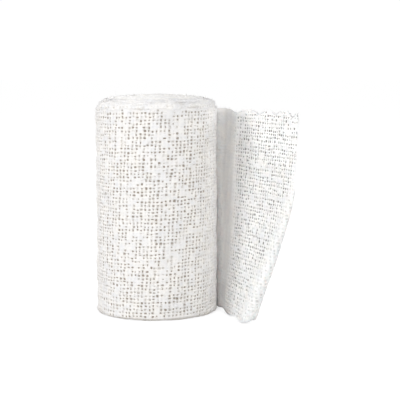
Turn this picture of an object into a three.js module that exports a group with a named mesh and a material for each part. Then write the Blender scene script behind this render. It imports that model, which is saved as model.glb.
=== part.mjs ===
// Plaster bandage roll standing on its end, with one loose end.
// Millimetres, +Z up. The origin is on the roll's axis, at the surface it stands on.
import * as THREE from 'three';

const rad = THREE.MathUtils.degToRad;

// The roll
const ROLL_RADIUS = 30.3;       // outer radius where the outer turn starts
const TURN_STEP = 1.3;          // how much the turn under the loose end lies lower
const SEAM_ANGLE = rad(75);     // where the loose end's solid starts on the roll
const COVERED_ANGLE = rad(70);  // stretch under the loose end that stays round
const OVAL = 0.25;              // how far the wound form is out of round
const ROLL_SIDES = 80;

// The wall, shoulder and dome of the roll: how far in from the wall, and how high
const ROLL_PROFILE = [
  { inset: 0.9, height: 0 },
  { inset: 0.25, height: 0.3 },
  { inset: 0, height: 1.0 },
  { inset: 0, height: 34 },
  { inset: 0, height: 68 },
  { inset: 0, height: 98.5 },
  { inset: 0.5, height: 101.0 },
  { inset: 1.6, height: 102.8 },
  { inset: 3.3, height: 104.0 },
  { inset: 5.8, height: 104.7 },
  { inset: 10.0, height: 105.2 },
  { inset: 16.0, height: 105.7 },
  { inset: 23.0, height: 106.0 },
];
const TOP_HEIGHT = 106.1;

// The loose end, a sheet of the same cloth
const SHEET_THICKNESS = 1.0;
const SHEET_GAP = 0.3;
const SHEET_LENGTH = 101.8;
const SHEET_TOP = 99.1;
const SHEET_MID_RADIUS = ROLL_RADIUS - TURN_STEP + SHEET_GAP + SHEET_THICKNESS / 2;

// Where each height of the sheet leaves the roll, and which way its free edge heads
const COURSE = [
  { height: 0, leaves: 13.2, heads: 19.7 },
  { height: 12, leaves: 16.7, heads: 21.2 },
  { height: 31, leaves: 23.2, heads: 24.2 },
  { height: 45, leaves: 27.7, heads: 24.7 },
  { height: 60, leaves: 32.2, heads: 24.4 },
  { height: 80, leaves: 37.2, heads: 23.2 },
  { height: 100, leaves: 42.2, heads: 21.5 },
];
const COURSE_EASE = 1.4;        // how early the sheet settles into its last heading

// Notches between the lobes of both long edges, along the sheet's length
const NOTCHES = [
  { at: -13.0, topDepth: 1.6, baseDepth: 1.0 },
  { at: 4.0, topDepth: 1.6, baseDepth: 1.0 },
  { at: 21.0, topDepth: 1.9, baseDepth: 1.0 },
  { at: 45.2, topDepth: 2.4, baseDepth: 1.1 },
  { at: 64.6, topDepth: 2.4, baseDepth: 2.0 },
  { at: 79.8, topDepth: 2.1, baseDepth: 2.0 },
  { at: 96.2, topDepth: 2.5, baseDepth: 2.0 },
  { at: 108.0, topDepth: 2.5, baseDepth: 2.0 },
];

// The lower free corner is folded back about a slender cone
const FOLD_FOOT = 73.8;                                        // where the fold meets the lower edge
const FOLD_TIP = { along: SHEET_LENGTH + 4.9, height: 78.9 };  // the cone's point, past the free edge
const FOLD_CONE = 0.0375;                                      // the cone's radius for each mm from its point
const FOLD_TURN = rad(165);
const FOLD_PLANE = { back: 12, height: 25 };                   // where the fold takes its direction from
const FOLD_MARGIN = 3;                                         // the shortest stretch kept before the free edge

// Steps of the sheet's mesh along each stretch, and up its height
const STEPS_ON_ROLL = 16;
const STEPS_TO_FOLD = 16;
const STEPS_IN_FOLD = 8;
const STEPS_PAST_FOLD = 6;
const STEPS_UP = 22;
const HEADING_STEP = 0.25;

const PLASTER_GAUZE = new THREE.MeshStandardMaterial({
  name: 'plaster_gauze',
  color: new THREE.Color().setRGB(0.86, 0.85, 0.83, THREE.SRGBColorSpace),
  roughness: 0.95,
  metalness: 0,
  side: THREE.DoubleSide,
});

const mix = (a, b, share) => a + (b - a) * share;
const clamp = THREE.MathUtils.clamp;

// A value of a table, between the rows on either side of a place
function lookUp(rows, key, place, column) {
  let i = 1;
  while (i < rows.length - 1 && rows[i][key] < place) i += 1;
  const low = rows[i - 1];
  const high = rows[i];
  const share = clamp((place - low[key]) / (high[key] - low[key]), 0, 1);
  return mix(low[column], high[column], share);
}

// A closed mesh from a grid of rows, each row running all the way round,
// with a point in the middle of the first row and one past the last
function closedRings(rings, basePoint, topPoint) {
  const sides = rings[0].length;
  const points = [...rings.flat(), basePoint, topPoint];
  const base = rings.length * sides;
  const top = base + 1;
  const faces = [];
  for (let side = 0; side < sides; side += 1) {
    const next = (side + 1) % sides;
    faces.push(base, next, side);
    for (let row = 0; row < rings.length - 1; row += 1) {
      const a = row * sides + side;
      const b = row * sides + next;
      faces.push(a, b, b + sides, a, b + sides, a + sides);
    }
    const last = (rings.length - 1) * sides;
    faces.push(last + side, last + next, top);
  }
  return indexedGeometry(points, faces);
}

function indexedGeometry(points, faces) {
  const geometry = new THREE.BufferGeometry().setFromPoints(points);
  geometry.setIndex(faces);
  geometry.computeVertexNormals();
  return geometry;
}

// The wound form's radius: round under the loose end, then a slow spiral that is a little oval
function rollRadius(share, angle) {
  const covered = COVERED_ANGLE / (2 * Math.PI);
  const open = Math.max(share - covered, 0) / (1 - covered);
  const uneven = OVAL * Math.sin(2 * angle + 0.6) * Math.sin(Math.PI * open);
  return ROLL_RADIUS - TURN_STEP * (1 - open) + uneven;
}

function woundRollGeometry() {
  const rings = ROLL_PROFILE.map(({ inset, height }) => {
    const ring = [];
    for (let side = 0; side <= ROLL_SIDES; side += 1) {
      const share = side / ROLL_SIDES;
      const angle = SEAM_ANGLE - share * 2 * Math.PI;
      const radius = rollRadius(share, angle) - inset;
      ring.push(new THREE.Vector3(radius * Math.cos(angle), radius * Math.sin(angle), height));
    }
    return ring.reverse();
  });
  const centre = new THREE.Vector3(0, 0, 0);
  const crown = new THREE.Vector3(0, 0, TOP_HEIGHT);
  return closedRings(rings, centre, crown);
}

// The sheet's heading, as the angle on the roll whose tangent it follows
function heading(along, height) {
  const leaves = rad(lookUp(COURSE, 'height', height, 'leaves'));
  const heads = rad(lookUp(COURSE, 'height', height, 'heads'));
  const leaveAt = SHEET_MID_RADIUS * (SEAM_ANGLE - leaves);
  if (along < leaveAt) return SEAM_ANGLE - along / SHEET_MID_RADIUS;
  const share = clamp((along - leaveAt) / (SHEET_LENGTH - leaveAt), 0, 1);
  return mix(leaves, heads, 1 - (1 - share) ** COURSE_EASE);
}

// The sheet before its fold: each height is stepped along its heading
function standingPoint(along, height) {
  const steps = Math.max(1, Math.ceil(along / HEADING_STEP));
  const step = along / steps;
  let x = SHEET_MID_RADIUS * Math.cos(SEAM_ANGLE);
  let y = SHEET_MID_RADIUS * Math.sin(SEAM_ANGLE);
  for (let i = 0; i < steps; i += 1) {
    const angle = heading((i + 0.5) * step, height);
    x += step * Math.sin(angle);
    y -= step * Math.cos(angle);
  }
  return new THREE.Vector3(x, y, height);
}

const foldTilt = Math.atan2(FOLD_TIP.along - FOLD_FOOT, FOLD_TIP.height);

// Where the fold starts and ends at a height, along the sheet
function foldStart(height) {
  return FOLD_TIP.along - (FOLD_TIP.height - height) * Math.tan(foldTilt);
}

function foldEnd(height) {
  const tilt = foldTilt - FOLD_CONE * FOLD_TURN;
  return FOLD_TIP.along - (FOLD_TIP.height - height) * Math.tan(tilt);
}

// A point of the flat cloth in its place: standing, or turned back about the cone
function sheetPoint(along, height) {
  const side = FOLD_TIP.along - along;
  const down = FOLD_TIP.height - height;
  const past = foldTilt - Math.atan2(side, down);
  if (height >= FOLD_TIP.height || past <= 0) return standingPoint(along, height);
  const reach = Math.hypot(side, down);
  const lineAt = (distance) => standingPoint(
    FOLD_TIP.along - distance * Math.sin(foldTilt),
    FOLD_TIP.height - distance * Math.cos(foldTilt),
  );
  const onLine = lineAt(reach);
  const line = onLine.clone().sub(lineAt(reach - 2)).normalize();
  const facing = heading(SHEET_LENGTH - FOLD_PLANE.back, FOLD_PLANE.height);
  const ahead = new THREE.Vector3(Math.sin(facing), -Math.cos(facing), 0);
  const outward = new THREE.Vector3(Math.cos(facing), Math.sin(facing), 0);
  const across = ahead.addScaledVector(line, -ahead.dot(line)).normalize();
  const back = new THREE.Vector3().crossVectors(line, across);
  if (back.dot(outward) < 0) back.negate();
  const turn = Math.min(past / FOLD_CONE, FOLD_TURN);
  const radius = reach * FOLD_CONE;
  const rest = Math.max(past - FOLD_CONE * FOLD_TURN, 0) * reach;
  return onLine
    .addScaledVector(across, radius * Math.sin(turn) + rest * Math.cos(turn))
    .addScaledVector(back, radius * (1 - Math.cos(turn)) + rest * Math.sin(turn));
}

// How far into a lobe a place lies: 0 at a notch, 1 at the lobe's round middle
function lobe(along) {
  const next = NOTCHES.findIndex(({ at }) => at > along);
  const low = NOTCHES[next - 1].at;
  const high = NOTCHES[next].at;
  return Math.sin(Math.PI * (along - low) / (high - low));
}

function topEdge(along) {
  return SHEET_TOP - lookUp(NOTCHES, 'at', along, 'topDepth') * (1 - lobe(along));
}

function baseEdge(along) {
  return lookUp(NOTCHES, 'at', along, 'baseDepth') * (1 - lobe(along));
}

// The places along the sheet of one row of the mesh, closer together in the fold
function stationsAt(height) {
  const start = Math.min(foldStart(height), SHEET_LENGTH - FOLD_MARGIN);
  const end = Math.min(foldEnd(height), SHEET_LENGTH - FOLD_MARGIN / 2);
  const leaveAt = SHEET_MID_RADIUS * (SEAM_ANGLE - rad(COURSE[0].leaves));
  const stretches = [
    { from: SHEET_GAP, to: leaveAt, steps: STEPS_ON_ROLL },
    { from: leaveAt, to: start, steps: STEPS_TO_FOLD },
    { from: start, to: end, steps: STEPS_IN_FOLD },
    { from: end, to: SHEET_LENGTH, steps: STEPS_PAST_FOLD },
  ];
  const stations = [SHEET_GAP];
  for (const { from, to, steps } of stretches) {
    for (let i = 1; i <= steps; i += 1) stations.push(mix(from, to, i / steps));
  }
  return stations;
}

// The sheet's outward normal, from its neighbours along and up
function sheetNormal(along, height) {
  const reach = 0.2;
  const ahead = sheetPoint(along + reach, height).sub(sheetPoint(along - reach, height));
  const up = sheetPoint(along, height + reach).sub(sheetPoint(along, height - reach));
  return ahead.cross(up).normalize();
}

// The sheet as a closed mesh: an inner face, an outer face and a strip round the edge
function looseEndGeometry() {
  const inner = [];
  const outer = [];
  for (let row = 0; row <= STEPS_UP; row += 1) {
    const share = row / STEPS_UP;
    for (const along of stationsAt(share * SHEET_TOP)) {
      const height = mix(baseEdge(along), topEdge(along), share);
      const middle = sheetPoint(along, height);
      const normal = sheetNormal(along, height);
      const half = SHEET_THICKNESS / 2;
      outer.push(middle.clone().addScaledVector(normal, half));
      inner.push(middle.clone().addScaledVector(normal, -half));
    }
  }
  for (const point of [...inner, ...outer]) point.z = Math.max(point.z, 0);
  const wide = inner.length / (STEPS_UP + 1);
  const backOf = inner.length;
  const faces = [];
  for (let row = 0; row < STEPS_UP; row += 1) {
    for (let i = 0; i < wide - 1; i += 1) {
      const a = row * wide + i;
      const b = a + 1;
      const c = b + wide;
      const d = a + wide;
      faces.push(a, c, b, a, d, c);
      faces.push(backOf + a, backOf + b, backOf + c, backOf + a, backOf + c, backOf + d);
    }
  }
  const closeStrip = (a, b) => faces.push(a, b, backOf + b, a, backOf + b, backOf + a);
  const lastRow = STEPS_UP * wide;
  for (let i = 0; i < wide - 1; i += 1) {
    closeStrip(i, i + 1);
    closeStrip(lastRow + i + 1, lastRow + i);
  }
  for (let row = 0; row < STEPS_UP; row += 1) {
    closeStrip((row + 1) * wide, row * wide);
    closeStrip(row * wide + wide - 1, (row + 1) * wide + wide - 1);
  }
  return indexedGeometry([...inner, ...outer], faces);
}

function namedMesh(name, geometry) {
  const mesh = new THREE.Mesh(geometry, PLASTER_GAUZE.clone());
  mesh.name = name;
  return mesh;
}

const bandage = new THREE.Group();
bandage.add(namedMesh('wound_roll', woundRollGeometry()));
bandage.add(namedMesh('loose_end', looseEndGeometry()));

export default bandage;
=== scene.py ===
"""Plaster bandage roll, finished around its packed model.

A strip of open gauze, filled unevenly with plaster, is wound into a roll that stands on its end. The last
stretch of the cloth leaves the roll on its right, stands on its lower edge and ends in a free edge, with
its lower corner folded back. Both long edges of the cloth are cut in shallow lobes.

Everything is in metres, in the frame of the packed model. A place on the cloth is given as its distance
along the cloth from the seam, where the loose end meets the roll, and its height across the cloth. The
distance is positive on the loose end and negative on the roll, and falls inwards, turn by turn. A place on
the roll is also given as the turns wound from the seam: nought to one is the outer turn."""

import math
from types import SimpleNamespace

import bpy
import numpy as np
from bpy.props import FloatProperty, FloatVectorProperty, IntProperty, PointerProperty
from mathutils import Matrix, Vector


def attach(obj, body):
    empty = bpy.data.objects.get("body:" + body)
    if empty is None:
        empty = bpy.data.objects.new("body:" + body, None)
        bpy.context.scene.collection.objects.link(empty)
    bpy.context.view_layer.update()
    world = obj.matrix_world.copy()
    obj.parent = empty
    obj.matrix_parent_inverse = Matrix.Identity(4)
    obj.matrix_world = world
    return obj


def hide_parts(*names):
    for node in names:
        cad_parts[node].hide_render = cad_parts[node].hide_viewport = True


bl_info = {
    "name": "Plaster bandage roll",
    "version": (1, 0, 0),
    "blender": (4, 5, 0),
    "location": "3D View > Sidebar > Bandage",
    "description": "Builds a wound roll of plaster gauze with a loose end, and its studio stage",
    "category": "Object",
}

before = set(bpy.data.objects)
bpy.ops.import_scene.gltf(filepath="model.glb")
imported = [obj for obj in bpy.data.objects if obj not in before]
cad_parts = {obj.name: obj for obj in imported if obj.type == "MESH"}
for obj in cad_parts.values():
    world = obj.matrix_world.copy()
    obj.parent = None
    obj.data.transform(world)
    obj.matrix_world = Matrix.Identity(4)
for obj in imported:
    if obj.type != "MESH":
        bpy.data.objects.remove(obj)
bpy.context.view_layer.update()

BODY = "root"
FULL_TURN = 2 * math.pi

# Course of the loose end: at each height, the angles in degrees at which it leaves the roll and then heads
COURSE = {
    "height": (0.0, 0.012, 0.031, 0.045, 0.060, 0.080, 0.100),
    "leaves": (13.2, 16.7, 23.2, 27.7, 32.2, 37.2, 42.2),
    "heads": (19.7, 21.2, 24.2, 24.7, 24.4, 23.2, 21.5),
}

# Notches between the lobes of the two cut edges, with their depths at the top and the base
NOTCHES = {
    "at": (-0.0130, 0.0040, 0.0210, 0.0452, 0.0646, 0.0798, 0.0962, 0.1080),
    "top": (0.0016, 0.0016, 0.0019, 0.0024, 0.0026, 0.0023, 0.0031, 0.0025),
    "base": (0.0010, 0.0010, 0.0010, 0.0015, 0.0020, 0.0020, 0.0020, 0.0020),
}
NOTCH_STEP = 0.0160
NOTCHES_ON_ROLL = 290
ROLL_NOTCH_TOP = 0.0010
ROLL_NOTCH_BASE = 0.0004
LOBE_BLUNTNESS = 0.8

# Height of the turns' upper edges, by how far they lie inside the outer turn
CROWN = {
    "inset": (0.0, 0.0005, 0.0016, 0.0033, 0.0058, 0.0100, 0.0160, 0.0230, 0.0303),
    "height": (0.1002, 0.1010, 0.1026, 0.1039, 0.1047, 0.1052, 0.1057, 0.1060, 0.1060),
}

# Soft troughs down the outer turn: place round it in degrees from the seam, width and depth
CREASES = {
    "at": (96.0, 121.0, 139.0, 163.0, 187.0, 204.0, 226.0, 243.0, 262.0),
    "width": (0.0030, 0.0042, 0.0024, 0.0036, 0.0028, 0.0040, 0.0030, 0.0022, 0.0034),
    "depth": (0.00012, 0.00020, 0.00009, 0.00014, 0.00016, 0.00010, 0.00018, 0.00012, 0.00015),
}

# How open the holes are: weights of blurred noises, with their blur in columns and in rows
PATCHES = {
    "weight": (0.42, 0.22, 0.16),
    "columns": (0.9, 0.3, 3),
    "rows": (0.2, 1.4, 4),
}

# Weights of the noise cell by cell, and of the columns that are more open in turns of two and of four
CELL_WEIGHT = 0.92
PAIR_WEIGHT = 0.19
FOUR_WEIGHT = 0.27

# The soft lights: bearing about the bandage, angle above it, side, and the setting that holds the power
LIGHTS = {
    "name": ("left light", "front right light", "upper light", "back left light", "back right light"),
    "bearing": (200, 285, 265, 140, 20),
    "rise": (18, 18, 42, 35, 25),
    "side": (0.52, 0.40, 0.40, 0.40, 0.40),
    "power": ("left", "front_right", "above", "back_left", "back_right"),
}

# The eight points round a hole, from the one ahead and then turning towards the one above
RING_AHEAD = np.array((1, 1, 0, -1, -1, -1, 0, 1), float)
RING_ABOVE = np.array((0, 1, 1, 1, 0, -1, -1, -1), float)


class ClothSettings(bpy.types.PropertyGroup):
    """Sizes and colours of the gauze."""

    columns: IntProperty(
        name="Holes round a turn", description="Columns of holes round the outer turn", default=96
    )
    row_pitch: FloatProperty(
        name="Row pitch", description="Distance between two rows of holes", default=0.001655, unit="LENGTH"
    )
    row_rise: FloatProperty(
        name="Row rise", description="How far the rows rise for each metre round the roll", default=0.0227
    )
    column_lean: FloatProperty(
        name="Column lean", description="Lean of the columns on the roll", default=math.radians(3),
        subtype="ANGLE",
    )
    hole_ahead: FloatProperty(
        name="Hole width", description="Width of a hole, as a share of its cell", default=0.56,
        subtype="FACTOR",
    )
    hole_above: FloatProperty(
        name="Hole height", description="Height of a hole, as a share of its cell", default=0.56,
        subtype="FACTOR",
    )
    open_share: FloatProperty(
        name="Open share", description="Share of the holes that plaster has left open", default=0.76,
        subtype="FACTOR",
    )
    swell: FloatProperty(
        name="Thread swell", description="How far the crossings stand out", default=0.00015, unit="LENGTH"
    )
    pit: FloatProperty(
        name="Hole depth", description="Depth of an open hole", default=0.00045, unit="LENGTH"
    )
    seed: IntProperty(name="Seed", description="Start of the random numbers", default=7)
    thread_colour: FloatVectorProperty(
        name="Thread colour", description="Gauze threads dusted with plaster", size=3, subtype="COLOR",
        default=(0.935, 0.927, 0.913),
    )
    wound_thread_colour: FloatVectorProperty(
        name="Wound thread colour", description="Threads of the outer turns", size=3, subtype="COLOR",
        default=(0.930, 0.914, 0.902),
    )
    plaster_colour: FloatVectorProperty(
        name="Plaster colour", description="Holes filled with plaster", size=3, subtype="COLOR",
        default=(0.795, 0.791, 0.797),
    )
    # On the roll the holes' colour is painted shade: the shaded layers beneath them
    roll_hole_colour: FloatVectorProperty(
        name="Hole colour on the roll", description="Depth of the holes on the roll", size=3,
        subtype="COLOR", default=(0.290, 0.250, 0.205),
    )
    loose_hole_colour: FloatVectorProperty(
        name="Hole colour on the loose end", description="Depth of the holes on the loose end", size=3,
        subtype="COLOR", default=(0.110, 0.107, 0.103),
    )


class RollSettings(bpy.types.PropertyGroup):
    """Sizes of the wound roll."""

    radius: FloatProperty(
        name="Radius", description="Outside radius at the seam", default=0.0303, unit="LENGTH"
    )
    step: FloatProperty(
        name="Seam step", description="How far the outer turn lies deeper under the loose end",
        default=0.0013, unit="LENGTH",
    )
    seam: FloatProperty(
        name="Seam angle", description="Where the loose end meets the roll", default=math.radians(75),
        subtype="ANGLE",
    )
    covered: FloatProperty(
        name="Covered angle", description="How far the loose end lies on the roll",
        default=math.radians(70), subtype="ANGLE",
    )
    oval: FloatProperty(
        name="Oval", description="How far the roll is out of round", default=0.00025, unit="LENGTH"
    )
    layer: FloatProperty(name="Layer", description="Thickness of one turn", default=0.00061, unit="LENGTH")
    turns: IntProperty(name="Inner turns", description="Turns inside the outer one", default=43)
    shoulder_turns: IntProperty(
        name="Shoulder turns", description="Turns whose upper edges are built as gauze", default=9
    )
    top: FloatProperty(
        name="Top", description="Height of the cloth at the seam", default=0.0991, unit="LENGTH"
    )
    top_rise: FloatProperty(
        name="Top rise", description="Rise of the top edge for each metre round the roll", default=0.009
    )


class LooseEndSettings(bpy.types.PropertyGroup):
    """Sizes of the loose end."""

    length: FloatProperty(
        name="Length", description="From the seam to the free edge", default=0.1018, unit="LENGTH"
    )
    middle: FloatProperty(
        name="Middle radius", description="Radius of the cloth's middle on the roll", default=0.0298,
        unit="LENGTH",
    )
    thickness: FloatProperty(
        name="Thickness", description="Thickness of the cloth", default=0.0010, unit="LENGTH"
    )
    gap: FloatProperty(name="Gap", description="Gap at the seam", default=0.0003, unit="LENGTH")
    columns: IntProperty(name="Columns", description="Columns of holes along the loose end", default=51)
    ease: FloatProperty(name="Ease", description="How soon the cloth takes its last heading", default=1.4)
    fold_foot: FloatProperty(
        name="Fold foot", description="Where the fold meets the lower edge", default=0.0738, unit="LENGTH"
    )
    fold_tip: FloatVectorProperty(
        name="Fold tip", description="Point of the fold's cone, along and up", size=2,
        default=(0.1067, 0.0789), unit="LENGTH",
    )
    fold_cone: FloatProperty(
        name="Fold cone", description="The cone's radius by distance from its point", default=0.0375
    )
    fold_turn: FloatProperty(
        name="Fold turn", description="How far the corner is turned back", default=math.radians(165),
        subtype="ANGLE",
    )


class StageSettings(bpy.types.PropertyGroup):
    """Floor, light and camera."""

    camera_place: FloatVectorProperty(
        name="Camera place", description="Where the camera stands", size=3, subtype="TRANSLATION",
        default=(0.02086, -0.530, 0.117),
    )
    camera_pitch: FloatProperty(
        name="Camera pitch", description="How far the camera looks down", default=math.radians(6.774),
        subtype="ANGLE",
    )
    lens: FloatProperty(name="Lens", description="Focal length in millimetres", default=97.4)
    floor_size: FloatProperty(
        name="Floor size", description="Side of the floor", default=30.0, unit="LENGTH"
    )
    sky: FloatProperty(name="Room light", description="Strength of the light from all round", default=0.35)
    floor_white: FloatProperty(
        name="Floor white", description="Share of light that the floor throws back", default=0.80,
        subtype="FACTOR",
    )
    left: FloatProperty(name="Left light", description="Power of the soft light at the left", default=6.9)
    front_right: FloatProperty(
        name="Front right light", description="Power of the soft light at the front right", default=7.4
    )
    above: FloatProperty(
        name="Upper light", description="Power of the soft light above the front", default=3.0
    )
    back_left: FloatProperty(
        name="Back left light", description="Power of the soft light behind at the left", default=5.2
    )
    back_right: FloatProperty(
        name="Back right light", description="Power of the soft light behind at the right", default=5.0
    )


def smooth(share):
    """Nought to one along an S-shaped curve, three squares less two cubes, and level beyond both ends."""
    share = np.clip(share, 0, 1)
    return share * share * (3 - 2 * share)


def bell(away, width):
    """One at nought and falling on both sides: the exponential of minus the square of the widths away."""
    return np.exp(-((away / width) ** 2))


def halfway(values, axis):
    """Means of the neighbours along an axis."""
    low = np.take(values, range(values.shape[axis] - 1), axis)
    high = np.take(values, range(1, values.shape[axis]), axis)
    return (low + high) / 2


def blurred_noise(random, shape, spread):
    """White noise blurred by a bell of so many cells each way, and scaled to a unit deviation."""
    noise = random.standard_normal(shape)
    ahead = np.fft.fftfreq(shape[0])[:, None] * spread[0]
    above = np.fft.fftfreq(shape[1])[None, :] * spread[1]
    blur = np.exp(-2 * np.pi ** 2 * (ahead ** 2 + above ** 2))
    soft = np.fft.ifft2(np.fft.fft2(noise) * blur).real
    return soft / soft.std()


def lobe(along):
    """How far into a lobe of the cut edge a place lies: from notch to notch it is half a turn of a sine, a
    little blunted, so nought at a notch and one at the lobe's middle."""
    on_roll = NOTCHES["at"][0] - NOTCH_STEP * np.arange(NOTCHES_ON_ROLL, 0, -1)
    at = np.concatenate([on_roll, NOTCHES["at"]])
    after = np.clip(np.searchsorted(at, along), 1, len(at) - 1)
    low, high = at[after - 1], at[after]
    return np.abs(np.sin(np.pi * (along - low) / (high - low))) ** LOBE_BLUNTNESS


# The roll's surface

OVAL_TURN = 0.6
SLACK_TURN = 0.25
ROUNDING_TURNS = 14


def roll_radius(roll, wound, angle):
    """Outside radius of the outer turn: even under the loose end, then a slow spiral, with a wave of two
    crests that puts it a little out of round."""
    covered = roll.covered / FULL_TURN
    open_part = np.clip((1 - wound - covered) / (1 - covered), 0, 1)
    uneven = roll.oval * np.sin(2 * angle + OVAL_TURN) * np.sin(np.pi * open_part)
    return roll.radius - roll.step * (1 - open_part) + uneven


def turn_radius(roll, wound):
    """Outside radius of the turns inside the outer one. They start snug under it, save near the seam, and
    pass over some turns into an even spiral, one layer smaller each turn."""
    share = np.mod(wound, 1)
    outer = roll_radius(roll, share, roll.seam + FULL_TURN * share)
    slack = (roll.step - roll.layer) * (1 - smooth(share / SLACK_TURN))
    even = roll.radius - roll.step - roll.layer * share
    shape = np.clip(1 - (wound - 1) / ROUNDING_TURNS, 0, 1) * (outer - roll.layer - slack - even)
    return roll.radius - roll.step - roll.layer * (wound - 1) + shape


def crease_depth(roll, wound, height):
    """Depth of the soft troughs: each is a bell across the turn, whose place and depth wander in waves with
    the height."""
    wander_size, wander_wave, wander_step = 0.0015, 55, 1.9
    fade_size, fade_wave, fade_step = 0.35, 40, 2.3
    depth = np.zeros_like(wound)
    for number, (at, width, deep) in enumerate(zip(*CREASES.values())):
        wander = wander_size * np.sin(height * wander_wave + number * wander_step)
        away = (wound - at / 360) * FULL_TURN * roll.radius - wander
        fade = 1 - fade_size + fade_size * np.sin(height * fade_wave + number * fade_step)
        depth += deep * fade * bell(away, width)
    return depth


def cloth_distance(roll, wound):
    """Distance along the cloth after so many turns inwards, for turns that each take one layer's room."""
    return -FULL_TURN * (roll.radius * wound - roll.layer * wound ** 2 / 2)


def roll_points(roll, wound, height, lift):
    """Points of the wound cloth: angle and radius follow from the turns wound, and the lift is added to the
    radius and the creases taken from it."""
    angle = roll.seam + FULL_TURN * wound
    outer = roll_radius(roll, wound, angle)
    smooth_radius = np.where(wound <= 1, outer, turn_radius(roll, wound))
    radius = smooth_radius + lift - crease_depth(roll, wound, height)
    return np.stack([radius * np.cos(angle), radius * np.sin(angle), height], axis=-1)


# The loose end's surface

GRID_STEP = 0.0005
GRID_HEIGHT = 0.102
GRID_END = 1.001
LINE_REACH = 0.002
FOLD_BACK = 0.012
FOLD_HEIGHT = 0.025
NORMAL_REACH = 0.0004


def heading(roll, loose, along, height):
    """Angle on the roll whose tangent the cloth follows: round the roll first, then easing by a power of
    what is left of the way to its last heading."""
    leaves = np.radians(np.interp(height, COURSE["height"], COURSE["leaves"]))
    heads = np.radians(np.interp(height, COURSE["height"], COURSE["heads"]))
    leave_at = loose.middle * (roll.seam - leaves)
    share = np.clip((along - leave_at) / (loose.length - leave_at), 0, 1)
    free = leaves + (heads - leaves) * (1 - (1 - share) ** loose.ease)
    return np.where(along < leave_at, roll.seam - along / loose.middle, free)


def standing_grid(roll, loose):
    """Plan of the cloth before its fold: at each height, the sum of short steps along its heading from the
    seam."""
    along = np.arange(0, loose.fold_tip[0] + 2 * GRID_STEP, GRID_STEP)
    height = np.arange(0, GRID_HEIGHT + GRID_STEP, GRID_STEP)
    middle = (along[:-1] + GRID_STEP / 2)[:, None]
    facing = heading(roll, loose, middle, height[None, :])
    steps = GRID_STEP * np.stack([np.sin(facing), -np.cos(facing)], axis=-1)
    start = loose.middle * np.array([math.cos(roll.seam), math.sin(roll.seam)])
    return start + np.concatenate([np.zeros_like(steps[:1]), np.cumsum(steps, axis=0)])


def standing(plan, along, height):
    """Points of the cloth before its fold, straight between the four nearest points of its plan."""
    column = np.clip(along / GRID_STEP, 0, plan.shape[0] - GRID_END)
    row = np.clip(height / GRID_STEP, 0, plan.shape[1] - GRID_END)
    left, below = column.astype(int), row.astype(int)
    ahead, above = (column - left)[..., None], (row - below)[..., None]
    low = plan[left, below] * (1 - ahead) + plan[left + 1, below] * ahead
    high = plan[left, below + 1] * (1 - ahead) + plan[left + 1, below + 1] * ahead
    return np.concatenate([low * (1 - above) + high * above, height[..., None]], axis=-1)


def unit(vectors):
    """The same directions with a length of one."""
    return vectors / np.maximum(np.linalg.norm(vectors, axis=-1, keepdims=True), 1e-12)


def fold_tilt(loose):
    """Angle of the fold line from upright."""
    return math.atan2(loose.fold_tip[0] - loose.fold_foot, loose.fold_tip[1])


def from_fold(loose, along, height):
    """A place as the fold's point sees it: the angle past the fold line, the distance, and how far below."""
    side, down = loose.fold_tip[0] - along, loose.fold_tip[1] - height
    return fold_tilt(loose) - np.arctan2(side, down), np.hypot(side, down), down


def beyond_fold(loose, along, height):
    """How far past the fold line a place of the cloth lies, and below nought before it."""
    past, reach, _ = from_fold(loose, along, height)
    return np.sin(past) * reach


def loose_middle(roll, loose, plan, along, height):
    """Middle of the loose end: standing, or past the fold line turned back about a slender cone and then
    straight on. The cone's point is the fold's, and its radius grows with the distance from it."""
    tip_along, tip_height = loose.fold_tip
    tilt = fold_tilt(loose)
    flat = standing(plan, along, height)
    past, reach, down = from_fold(loose, along, height)

    def on_line(distance):
        """Points of the fold line at a distance from its upper end."""
        return standing(plan, tip_along - distance * math.sin(tilt), tip_height - distance * math.cos(tilt))

    foot = on_line(reach)
    line = unit(foot - on_line(reach - LINE_REACH))
    facing = float(heading(roll, loose, loose.length - FOLD_BACK, FOLD_HEIGHT))
    ahead = np.array([math.sin(facing), -math.cos(facing), 0.0])
    outward = np.array([math.cos(facing), math.sin(facing), 0.0])
    across = unit(ahead - line * (line @ ahead)[..., None])
    back = np.cross(line, across)
    back *= np.where(back @ outward < 0, -1.0, 1.0)[..., None]
    turn = np.clip(past / loose.fold_cone, 0, loose.fold_turn)
    radius = reach * loose.fold_cone
    rest = np.maximum(past - loose.fold_cone * loose.fold_turn, 0) * reach
    forward = (radius * np.sin(turn) + rest * np.cos(turn))[..., None]
    behind = (radius * (1 - np.cos(turn)) + rest * np.sin(turn))[..., None]
    folded = foot + across * forward + back * behind
    turned = (down > 0) & (past > 0)
    return np.where(turned[..., None], folded, flat)


def loose_points(roll, loose, plan, along, height, lift):
    """Points at a lift from the loose end's middle, along the normal that the points beside them give, and
    not below the floor."""
    middle = loose_middle(roll, loose, plan, along, height)
    ahead = loose_middle(roll, loose, plan, along + NORMAL_REACH, height)
    ahead = ahead - loose_middle(roll, loose, plan, along - NORMAL_REACH, height)
    above = loose_middle(roll, loose, plan, along, height + NORMAL_REACH)
    above = above - loose_middle(roll, loose, plan, along, height - NORMAL_REACH)
    normal = unit(np.cross(ahead, above))
    points = middle + normal * lift[..., None]
    points[..., 2] = np.maximum(points[..., 2], 0)
    return points


# The gauze

OPEN_FROM = 0.35
OPENNESS_RAMP = 1.7
PRESSED = 0.82
LEAST_ROW = 0.00011

# How uneven the gauze's cells are, as shares of a cell, of the threads' swell or of a hole's depth
UNEVEN = SimpleNamespace(
    lumps=1.15, crossing=0.5, sag=0.45, dark_on_thread_ahead=0.80, dark_on_thread_above=0.40, size=0.34, place=0.26,
    corner=(0.66, 0.92), rim=0.16, rim_lift=0.35, depth=0.12, darkness=0.34, filling=(-0.4, 1.8),
)
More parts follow.
